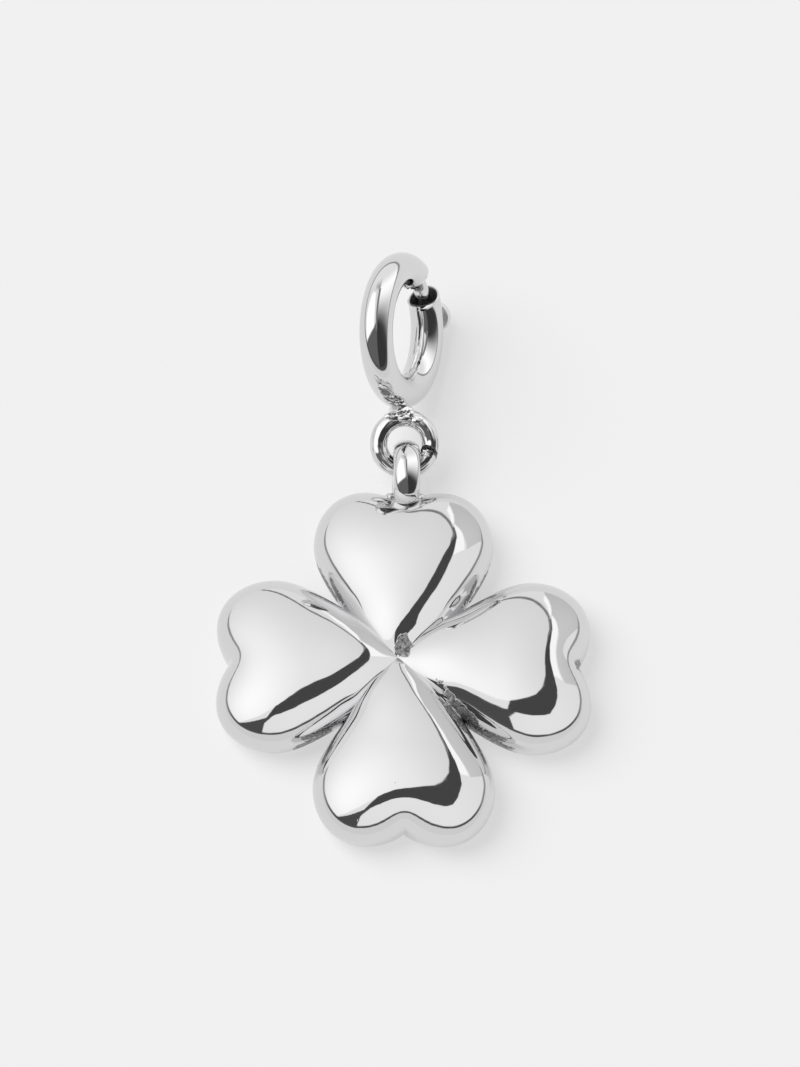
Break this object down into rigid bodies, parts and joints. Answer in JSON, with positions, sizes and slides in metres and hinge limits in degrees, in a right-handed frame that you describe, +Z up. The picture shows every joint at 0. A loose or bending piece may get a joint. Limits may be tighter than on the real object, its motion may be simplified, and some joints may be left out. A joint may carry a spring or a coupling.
{
  "type": "clover charm",
  "caption": "Polished steel clover charm of puffed hearts, lying flat, with a soldered bail, a small joining ring and a spring-ring clasp whose sprung bolt slides back.",
  "frame": {"origin": "centre of the clover's flat back, on the surface it lies on", "axes": "+Y from the clover's centre to its clasp, +X to the right seen from above, +Z up out of the domed front"},
  "size_m": [0.0288, 0.0471, 0.0117],
  "materials": {
    "polished_steel": "mirror polished, with a cast, brushed rim beside the seams",
    "clasp_steel": "mirror polished",
    "bolt_steel": "polished, a little dull"
  },
  "bodies": {
    "charm": {"heart_clover": "polished_steel", "clasp_tube": "clasp_steel"},
    "bolt": {"clasp_bolt": "bolt_steel"}
  },
  "joints": [
    {"name": "bolt_draw", "type": "hinge", "parent": "charm", "child": "bolt", "pos_m": [-0.00022, 0.02665, 0.00595], "axis": [0.8996, -0.1789, 0.3983], "range_deg": [-42, 0], "stiffness_Nm_per_rad": 0.013, "springref_deg": 17.19}
  ]
}
